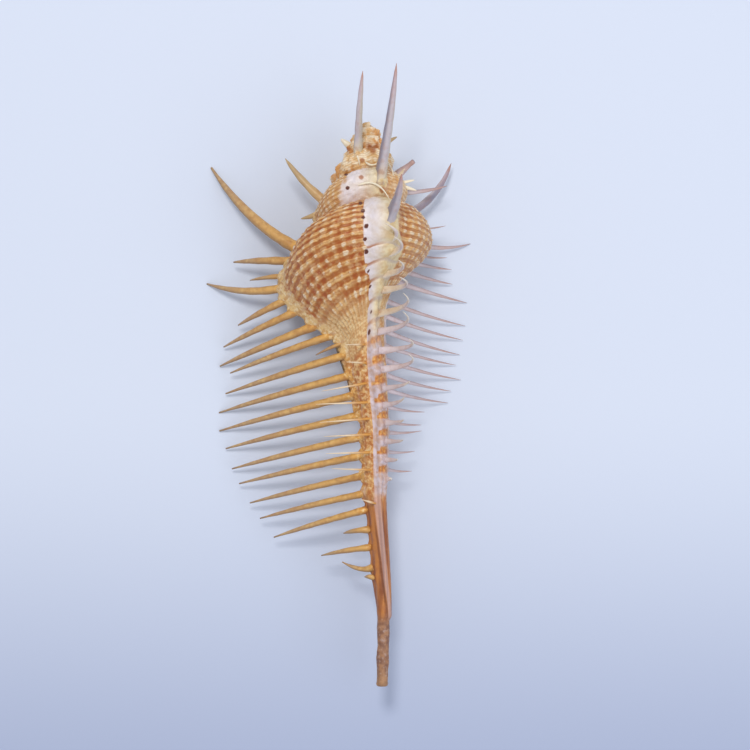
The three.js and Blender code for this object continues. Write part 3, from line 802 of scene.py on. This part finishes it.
def whorl_finish():
    material, paint, surface = shader("shell_whorls", 0.42)
    patches = cloud(paint, 190.0)
    grit = cloud(paint, 800.0)
    specks = cloud(paint, 1500.0, 4.0)
    canal = smooth(measure(paint, "station"), 45.0, 52.0)
    plate = smooth(0.0 - measure(paint, "turn"), 0.95, 1.1)
    tatter = (grit - 0.5) * (0.9 + 1.1 * measure(paint, "lip")) * (1.0 - canal)
    tatter += (patches - 0.5) * 1.5 * plate
    ragged = smooth(measure(paint, "apron") + tatter, 0.3, 0.7)
    pitted = smooth(measure(paint, "pit") * (0.4 + grit * 1.4), 0.25, 0.75)
    skin = coats(
        canal_skin(paint, canal, grit, specks, whorl_skin(paint, patches, grit, specks)),
        (ragged, apron_skin(paint, canal, grit, specks)),
        (measure(paint, "band") * 0.7, (200, 164, 152)),
        (measure(paint, "seam") * 0.8, (112, 62, 34)),
        (pitted * 0.8, (166, 92, 38)),
        (smooth(measure(paint, "spot"), 0.25, 0.55), (96, 44, 24)),
        (measure(paint, "inside"), (240, 226, 214)),
    )
    feed(paint, skin, surface.inputs["Base Color"])
    roughen(paint, surface, specks + grit * 0.6, 0.4, 0.35)
    return material


def roll_whorls(material):
    """The tree that rolls the flat chart up into whorls, canal and mouth."""
    tree, entry, size = new_tree("roll_whorls", COIL)
    turn = number(tree, "turn")
    station = number(tree, "station")
    ornament = number(tree, "ornament")
    closing = number(tree, "closing")
    scale = scale_at(size, turn, station)
    cord = (0.5 - 0.5 * calc("COSINE", (station - SUTURE) * (2.0 * math.pi / CORD_PITCH))) * ornament
    rib = 0.5 + 0.5 * calc("COSINE", turn * (2.0 * math.pi * RIBS_PER_TURN))
    on_cord = calc("MINIMUM", cord * 4.0, 1.0)
    raised = size["varix height"] * number(tree, "ridge")
    raised += size["tongue height"] * number(tree, "tongue rise")
    raised += size["cord height"] * cord + size["rib height"] * rib * ornament * on_cord
    raised += size["bead height"] * cord * rib + size["knob height"] * number(tree, "knob")
    raised += number(tree, "swell")
    skin_radius = shell_radius(size, turn, station) + scale * raised
    skin_radius *= closing * (1.0 - size["slit depth"] * number(tree, "slit"))
    even_places = shell_place(size, turn, scale * station, skin_radius)
    pitches = {axis: place / size["uneven pitch"] for axis, place in zip("XYZ", even_places)}
    even_skin = add_node(tree, "ShaderNodeCombineXYZ", pitches).outputs["Vector"]
    noise = add_node(tree, "ShaderNodeTexNoise", {"Vector": even_skin, "Scale": 1.0, "Detail": 3.0})
    lumps = (Field(tree, noise.outputs["Fac"]) - 0.5) * number(tree, "uneven") * closing
    skin = shell_place(size, turn, scale * station, skin_radius + size["uneven height"] * lumps)

    swing = number(tree, "swing")
    aside = calc("SINE", swing)
    along = calc("COSINE", swing)
    back = calc("MINIMUM", calc("MAXIMUM", (0.0 - turn) / size["hollow turns"], 0.0), 1.0)
    width = calc("POWER", calc("MAXIMUM", 1.0 - back * back * back, 0.04), 0.5) * closing
    growth_here = calc("POWER", size["growth per turn"], turn)
    painted_canal_side_shade = calc("MAXIMUM", along, 0.0)
    tuck = size["hollow tuck"] * painted_canal_side_shade * painted_canal_side_shade * smooth(aside, -0.6, 0.2)
    hollow_distance = growth_here * (size["hollow station"] + width * size["hollow half length"] * along)
    hollow_reach = width * (size["hollow half width"] * aside - tuck)
    hollow_radius = growth_here * (size["hollow radius"] + hollow_reach)
    hollow = shell_place(size, turn, hollow_distance, hollow_radius)

    inside = number(tree, "inside")
    places = [blend(on_skin, in_hollow, inside) for on_skin, in_hollow in zip(skin, hollow)]
    finish_tree(tree, move(tree, entry.outputs["Geometry"], *places), material)
    return tree


grow(whorls, roll_whorls(whorl_finish()), COIL)


# The spines: hollow thorns of the same lime, drawn out of the lip while it rested
# at a varix. Each is a tapering rod with a groove on its front side and a flared
# foot, and the older ones are worn or broken short.

SPINE = {
    "groove": 0.3,
    "foot groove": 0.45,
    "ripple": 0.06,
    "ripple radians per mm": 1.7,
    "point sharpness": 3.2,
    "point roundness": 0.7,
    "slimming": 0.12,
    "cone roundness": 0.8,
    "least radius": 0.03,
}
# The feet by kind, for the rows that give none.
FEET = {
    LIP: (0.4, 3.0, 0.0, 2.0), UPPER: (0.6, 2.0, 1.0, 2.0), BACK: (0.6, 1.4, 1.0, 1.5),
    TALL: (0.2, 3.0, 0.0, 0.5), FINE: (0.5, 1.5, 1.0, 2.4), OLIVE: (0.7, 2.0, 0.0, 0.8),
    SHARD: (0.0, 1.0, 0.0, 0.8),
}
WORN_TIP = 0.16
SCOOP_END = 40.0
SPINE_SIDES = 12
SPINE_STEPS = 18
FOOT_CROWDING = 1.4

# Thin rims of the gutters that run from the oldest spines onto the whorl below:
# three places (side, distance) along each.
RIMS = [
    ((-1.9, 14.5), (1.7, 14.3), (4.4, 17.6)), ((-2.6, 7.4), (-1.9, 8.6), (-1.5, 10.3)),
    ((-0.5, 9.4), (0.8, 10.2), (2.4, 9.7)), ((3.7, 9.6), (4.7, 10.8), (5.1, 12.3)),
]
RIM_RADIUS = 0.18
RIM_SEARCH = 0.3

spines = []


def add_spine(path, turn, radius, comb, foot, blunt=0.0, scoop=0.0):
    spine = {"turn": turn, "thickness": radius, "comb": comb, "blunt": blunt, "scoop": scoop}
    spine.update(zip(("root", "bend", "tip"), path))
    spine.update(zip(("flare", "flare length", "cone", "rounding"), foot))
    spine["length"] = np.linalg.norm(spine["tip"] - spine["root"])
    spines.append(spine)


def top_at(side, distance):
    """The place on top of the whorls at a side and distance."""
    near = (plain_skin[0] - side) ** 2 + (plain_skin[1] - distance) ** 2 < RIM_SEARCH
    return np.array((side, distance, plain_skin[2][near].max()))


for comb in COMBS:
    kind = comb["comb"]
    foot = comb.get("foot", FEET[kind])
    blunt = comb.get("blunt", WORN_TIP if kind == LIP else 0.0)
    for row in comb["rows"]:
        scoop = 1.0 if kind == UPPER and row[0] < SCOOP_END else 0.0
        add_spine(spine_path(comb, row), comb["turn"], row[-1], kind, foot, blunt, scoop)
for places in RIMS:
    start, middle, end = (top_at(*place) for place in places)
    add_spine((start, 2.0 * middle - (start + end) / 2, end), 0.0, RIM_RADIUS, SHARD, FEET[SHARD])

spine_mesh = bpy.data.meshes.new("shell_spines")
spine_mesh.from_pydata([(0.0, 0.0, 0.0)] * len(spines), [], [])
AXES = ("side", "distance", "height")
for end in ("root", "bend", "tip"):
    for place, axis in enumerate(AXES):
        add_numbers(spine_mesh, f"{end} {axis}", np.array([spine[end][place] for spine in spines]))
for name in (
    "thickness", "comb", "blunt", "scoop", "flare", "flare length", "cone", "rounding", "length",
):
    add_numbers(spine_mesh, name, np.array([float(spine[name]) for spine in spines]))
facing = np.radians([COIL["lip angle"] + 360.0 * spine["turn"] for spine in spines])
add_numbers(spine_mesh, "face side", -np.sin(facing))
add_numbers(spine_mesh, "face height", np.cos(facing))
add_numbers(spine_mesh, "phase", np.random.default_rng(7).random(len(spines)))
thorns = add_object("shell_spines", spine_mesh)


def lip_spine_colour(paint, along, grit, specks):
    """Golden at the foot, speckled like the lip it grows from, dull towards the tip, with painted shade
    below and canal-side.
    """
    painted_canal_side_shade = smooth(0.0 - measure(paint, "across"), -0.1, 0.9)
    rooted = fade(along, 0.04, 0.16)
    return coats(
        mix(fade(along, 0.0, 0.25), (208, 160, 90), (226, 166, 72)),
        (smooth(along, 0.3, 0.9), (176, 144, 108)),
        (smooth(grit, 0.4, 0.7) * 0.3, (160, 112, 60)),
        (fade(specks, 0.3, 0.55) * 0.35, (234, 198, 128)),
        # Painted shade: the underside (the grooved front) and the side towards the canal are darkened.
        (smooth(measure(paint, "front"), -0.2, 0.9) * 0.4, (138, 100, 66)),
        (painted_canal_side_shade * 0.6, (146, 112, 78)),
        (smooth(specks, 0.48, 0.6) * rooted * 0.5, (172, 98, 44)),
        (fade(specks, 0.38, 0.5) * rooted * 0.7, (242, 216, 164)),
    )


def upper_spine_colour(paint, along, front):
    """White to lilac, cream in the scooped feet of the hooked ones on the whorl, tan in their grooves."""
    scoop = measure(paint, "scoop")
    return coats(
        mix(smooth(along, 0.05, 0.3), (226, 214, 218), (214, 196, 194)),
        (smooth(along, 0.5, 0.9), (236, 224, 204)),
        (scoop * fade(along, 0.3, 0.6) * 0.8, (238, 228, 206)),
        # The tan in the scoop's groove is partly its own orange and partly painted shade in the recess.
        (front * fade(along, 0.3, 0.55) * scoop * 0.45, (206, 166, 112)),
    )


def tall_spine_colour(paint, along, front, foot):
    """Grey-blue painted shade in the groove, cream behind and at the foot, red-brown at the tip."""
    return coats(
        mix(foot, (188, 180, 186), (230, 214, 182)),
        # Painted shade: the groove on the front is darkened to grey-blue.
        (front * 0.8, (124, 120, 138)),
        (smooth(0.0 - measure(paint, "front"), 0.3, 1.0) * 0.6, (206, 196, 164)),
        (smooth(along, 0.55, 0.85) * 0.5, (188, 156, 158)),
        (smooth(along, 0.84, 0.97) * 0.8, (182, 128, 108)),
    )


def spine_finish():
    material, paint, surface = shader("shell_spines", 0.4)
    along = measure(paint, "along")
    comb = measure(paint, "comb")
    patches = cloud(paint, 260.0)
    specks = cloud(paint, 1100.0, 4.0)
    grit = cloud(paint, 900.0)
    front = smooth(measure(paint, "front"), 0.1, 0.9)
    foot = fade(along, 0.0, 0.25)
    back_colour = mix(smooth(along, 0.2, 0.95), (206, 192, 196), (182, 150, 144))
    shaded = smooth(measure(paint, "across"), -0.1, 0.9)
    colours = {
        UPPER: upper_spine_colour(paint, along, front),
        BACK: mix(shaded * 0.5, back_colour, (146, 128, 134)),
        TALL: tall_spine_colour(paint, along, front, foot),
        FINE: mix(smooth(along, 0.2, 0.6), (210, 150, 70), (234, 214, 180)),
        OLIVE: mix(smooth(along, 0.0, 0.8), (214, 176, 118), (184, 158, 116)),
        SHARD: (240, 230, 204),
    }
    dirty = smooth(grit, 0.48, 0.7) * calc("MINIMUM", 0.2 + foot * 0.4, 0.5)
    colour = coats(
        lip_spine_colour(paint, along, grit, specks),
        *((calc("GREATER_THAN", comb, kind - 0.5), other) for kind, other in colours.items()),
        (smooth(patches, 0.45, 0.75) * 0.22, (170, 118, 78)),
        (dirty, (168, 108, 60)),
    )
    feed(paint, colour, surface.inputs["Base Color"])
    roughen(paint, surface, specks + grit * 0.6, 0.35, 0.3)
    return material


def keep(tree, geometry, name, value):
    """Store a field on the points under a name."""
    inputs = {"Geometry": geometry, "Name": name, "Value": value}
    kind = "GeometryNodeStoreNamedAttribute"
    return add_node(tree, kind, inputs, data_type="FLOAT", domain="POINT").outputs["Geometry"]


def straight_rods(tree, entry):
    """A rod on each spine's seed point, which knows its place along and around."""
    sizes = {"Vertices": SPINE_SIDES, "Side Segments": SPINE_STEPS, "Radius": 1.0, "Depth": 1.0}
    rod = add_node(tree, "GeometryNodeMeshCylinder", sizes, fill_type="TRIANGLE_FAN").outputs["Mesh"]
    position = add_node(tree, "GeometryNodeInputPosition", {}).outputs["Position"]
    parts = add_node(tree, "ShaderNodeSeparateXYZ", {"Vector": position}).outputs
    step = calc("MAXIMUM", Field(tree, parts["Z"]) + 0.5, 0.0)
    rod = keep(tree, rod, "along", calc("POWER", step, FOOT_CROWDING))
    rod = keep(tree, rod, "across", parts["X"])
    rod = keep(tree, rod, "front", parts["Y"])
    seeds = add_node(tree, "GeometryNodeMeshToPoints", {"Mesh": entry.outputs["Geometry"]})
    copying = {"Points": seeds.outputs["Points"], "Instance": rod}
    copies = add_node(tree, "GeometryNodeInstanceOnPoints", copying).outputs["Instances"]
    return add_node(tree, "GeometryNodeRealizeInstances", {"Geometry": copies}).outputs["Geometry"]


def triple(tree, name):
    return [number(tree, f"{name} {axis}") for axis in AXES]


def cross(first, second):
    return [
        first[1] * second[2] - first[2] * second[1],
        first[2] * second[0] - first[0] * second[2],
        first[0] * second[1] - first[1] * second[0],
    ]


def unit(vector):
    total = vector[0] * vector[0] + vector[1] * vector[1] + vector[2] * vector[2]
    reach = calc("POWER", total, 0.5)
    return [part / reach for part in vector]


def draw_spines(material):
    """The tree that bends a rod along each spine's path and gives it its taper."""
    tree, entry, size = new_tree("draw_spines", SPINE)
    rods = straight_rods(tree, entry)
    along = number(tree, "along")
    across = number(tree, "across")
    front = number(tree, "front")
    from_root = along * number(tree, "length")
    rest = 1.0 - along
    centre = []
    heading = []
    for root, bend, tip in zip(triple(tree, "root"), triple(tree, "bend"), triple(tree, "tip")):
        centre.append(rest * rest * root + 2.0 * rest * along * bend + along * along * tip)
        heading.append(rest * (bend - root) + along * (tip - bend))
    heading = unit(heading)
    sideways = unit(cross(heading, [number(tree, "face side"), 0.0, number(tree, "face height")]))
    forward = cross(sideways, heading)

    blunting = calc("MAXIMUM", 1.0 - calc("POWER", along, size["point sharpness"]), 0.0)
    thorn = calc("POWER", blunting, size["point roundness"]) * (1.0 - size["slimming"] * along)
    cone = calc("POWER", calc("MAXIMUM", rest, 0.0), size["cone roundness"])
    taper = calc("MAXIMUM", blend(thorn, cone, number(tree, "cone")), number(tree, "blunt"))
    foot = number(tree, "flare") * calc("EXPONENT", 0.0 - from_root / number(tree, "flare length"))
    wave = calc("SINE", from_root * size["ripple radians per mm"] + number(tree, "phase") * 6.0)
    buried = calc("MAXIMUM", 1.0 - from_root / number(tree, "rounding"), 0.0)
    radius = number(tree, "thickness") * (taper + foot) * (1.0 + size["ripple"] * wave)
    radius = radius * (1.0 - buried * buried) + size["least radius"]
    cut = size["groove"] + size["foot groove"] * calc("MINIMUM", foot, 1.0)
    radius *= 1.0 - cut * smooth(front, 0.45, 0.95)
    places = []
    for middle, aside, ahead in zip(centre, sideways, forward):
        places.append(middle + radius * (aside * across + ahead * front))
    finish_tree(tree, move(tree, rods, *places), material)
    return tree


grow(thorns, draw_spines(spine_finish()), SPINE)


# The whole shell: whorls and spines are one piece of lime that grew without a joint,
# so their meshes become one piece. It stands in for the solid and lies still on the
# tips of its spines.

with bpy.context.temp_override(active_object=whorls, selected_editable_objects=[whorls, thorns]):
    bpy.ops.object.join()
shell = whorls
shell.name = "shell_visual"
shell.data.polygons.foreach_set("use_smooth", np.ones(len(shell.data.polygons), dtype=bool))
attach(shell, "root")
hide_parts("shell")


# The surface it lies on: a plain pale board, matt and without a pattern. Painted shade
# makes it a little darker towards the canal's end, where the light falls off.

FLOOR_HALF = 1.5
floor_mesh = bpy.data.meshes.new("floor")
corners = ((-1, -1), (1, -1), (1, 1), (-1, 1))
floor_points = [(side * FLOOR_HALF, way * FLOOR_HALF, 0.0) for side, way in corners]
floor_mesh.from_pydata(floor_points, [], [(0, 1, 2, 3)])
floor = add_object("floor", floor_mesh)


def board_finish():
    material, paint, surface = shader("floor", 0.8)
    place = add_node(paint, "ShaderNodeTexCoord", {}).outputs["Object"]
    parts = add_node(paint, "ShaderNodeSeparateXYZ", {"Vector": place}).outputs
    # Painted shade: the board darkens towards the canal's end.
    painted_light_falloff = smooth(0.0 - Field(paint, parts["Y"]), 0.0, 0.1)
    board = mix(painted_light_falloff, (211, 219, 234), (163, 174, 202))
    feed(paint, board, surface.inputs["Base Color"])
    return material


floor_mesh.materials.append(board_finish())


# The light and the camera: one soft lamp high past the spire, a weaker and wider one
# on the right, and an even sky. The camera looks straight down on the photo's middle.

world = bpy.data.worlds.new("studio")
world.use_nodes = True
sky = world.node_tree.nodes["Background"]
sky.inputs["Color"].default_value = (0.89, 0.915, 1.0, 1.0)
sky.inputs["Strength"].default_value = 0.6
bpy.context.scene.world = world
bpy.context.scene.view_settings.view_transform = "Standard"


def lamp(name, place, target, width, watts, colour):
    light = bpy.data.lights.new(name, "AREA")
    light.size = width
    light.energy = watts
    light.color = colour
    holder = add_object(name, light)
    holder.location = place
    holder.rotation_euler = (Vector(target) - Vector(place)).to_track_quat("-Z", "Y").to_euler()


lamp("key", (-0.07, 0.25, 0.62), (0.0, 0.01, 0.0), width=0.15, watts=1.9, colour=(1.0, 0.97, 0.93))
lamp("fill", (0.4, -0.12, 0.5), (0.0, 0.0, 0.0), width=0.5, watts=1.05, colour=(0.92, 0.95, 1.0))

VIEW_SIDE, VIEW_DISTANCE = 1.5, 51.8
VIEW_HEIGHT = 0.6125
camera_data = bpy.data.cameras.new("camera")
camera_data.sensor_width = 36.0
camera_data.lens = 144.0
camera = add_object("camera", camera_data)
view_place = (AXIS_PLACE + VIEW_SIDE * MILLIMETRE, SPIRE_PLACE - VIEW_DISTANCE * MILLIMETRE)
camera.location = (*view_place, VIEW_HEIGHT)
bpy.context.scene.camera = camera
